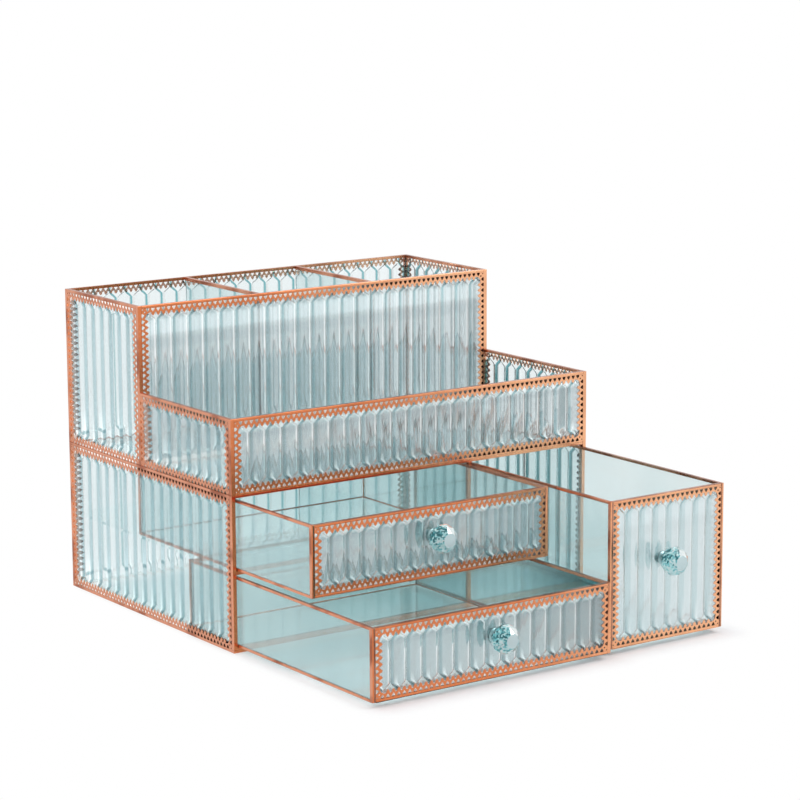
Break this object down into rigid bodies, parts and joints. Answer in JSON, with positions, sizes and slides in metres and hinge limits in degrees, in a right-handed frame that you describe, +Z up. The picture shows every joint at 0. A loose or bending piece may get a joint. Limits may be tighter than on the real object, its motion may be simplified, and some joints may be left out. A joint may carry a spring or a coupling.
{
  "type": "cosmetics organiser with drawers",
  "caption": "Tabletop glass cosmetics organiser with sliding drawers, an open tray and tall compartments, in fluted panes edged with pierced metal trim.",
  "frame": {"origin": "centre of the cabinet's footprint, on the surface it stands on", "axes": "+X to the right as seen from the drawer fronts, +Y to the back, +Z up; the drawers open towards -Y"},
  "size_m": [0.3, 0.3977, 0.2191],
  "materials": {
    "fluted_glass": "moulded flutes on the outer side, pale aqua tint, polished",
    "plain_glass": "clear float glass with a faint aqua tint, polished",
    "crystal": "cut and polished facets, aqua tint",
    "rose_metal": "brushed rose-coloured plating",
    "lace_trim": "stamped and pierced strip, rose-coloured plating",
    "bright_metal": "turned and nickel plated, polished"
  },
  "bodies": {
    "cabinet": {"back_lace": "lace_trim", "base_frame": "rose_metal", "bay_edge_strips": "rose_metal", "bay_partition_glass": "plain_glass", "bay_shelf_glass": "plain_glass", "box_back_glass": "fluted_glass", "box_divider_caps": "rose_metal", "box_divider_left": "plain_glass", "box_divider_right": "plain_glass", "box_front_glass": "fluted_glass", "box_front_lace": "lace_trim", "box_left_glass": "fluted_glass", "box_posts": "rose_metal", "box_rails": "rose_metal", "box_right_glass": "fluted_glass", "cabinet_back_glass": "fluted_glass", "cabinet_floor_glass": "plain_glass", "cabinet_left_glass": "fluted_glass", "cabinet_right_glass": "fluted_glass", "corner_posts": "rose_metal", "deck_glass": "plain_glass", "deck_rails": "rose_metal", "left_side_lace": "lace_trim", "right_side_lace": "lace_trim", "tray_front_glass": "fluted_glass", "tray_front_lace": "lace_trim", "tray_left_glass": "fluted_glass", "tray_rails": "rose_metal", "tray_right_glass": "fluted_glass"},
    "upper_drawer": {"upper_drawer_back_glass": "plain_glass", "upper_drawer_floor_glass": "plain_glass", "upper_drawer_frame": "rose_metal", "upper_drawer_front_glass": "fluted_glass", "upper_drawer_front_lace": "lace_trim", "upper_drawer_knob_crystal": "crystal", "upper_drawer_knob_mount": "bright_metal", "upper_drawer_knob_screw": "bright_metal", "upper_drawer_left_glass": "plain_glass", "upper_drawer_right_glass": "plain_glass"},
    "lower_drawer": {"lower_drawer_back_glass": "plain_glass", "lower_drawer_floor_glass": "plain_glass", "lower_drawer_frame": "rose_metal", "lower_drawer_front_glass": "fluted_glass", "lower_drawer_front_lace": "lace_trim", "lower_drawer_knob_crystal": "crystal", "lower_drawer_knob_mount": "bright_metal", "lower_drawer_knob_screw": "bright_metal", "lower_drawer_left_glass": "plain_glass", "lower_drawer_right_glass": "plain_glass"},
    "tall_drawer": {"tall_drawer_back_glass": "plain_glass", "tall_drawer_floor_glass": "plain_glass", "tall_drawer_frame": "rose_metal", "tall_drawer_front_glass": "fluted_glass", "tall_drawer_front_lace": "lace_trim", "tall_drawer_knob_crystal": "crystal", "tall_drawer_knob_mount": "bright_metal", "tall_drawer_knob_screw": "bright_metal", "tall_drawer_left_glass": "plain_glass", "tall_drawer_right_glass": "plain_glass"}
  },
  "joints": [
    {"name": "upper_drawer_slide", "type": "slide", "parent": "cabinet", "child": "upper_drawer", "axis": [0, -1, 0], "range_m": [-0.0902, 0.0898]},
    {"name": "lower_drawer_slide", "type": "slide", "parent": "cabinet", "child": "lower_drawer", "axis": [0, -1, 0], "range_m": [-0.1571, 0.0229]},
    {"name": "tall_drawer_slide", "type": "slide", "parent": "cabinet", "child": "tall_drawer", "axis": [0, -1, 0], "range_m": [-0.1516, 0.0284]}
  ]
}
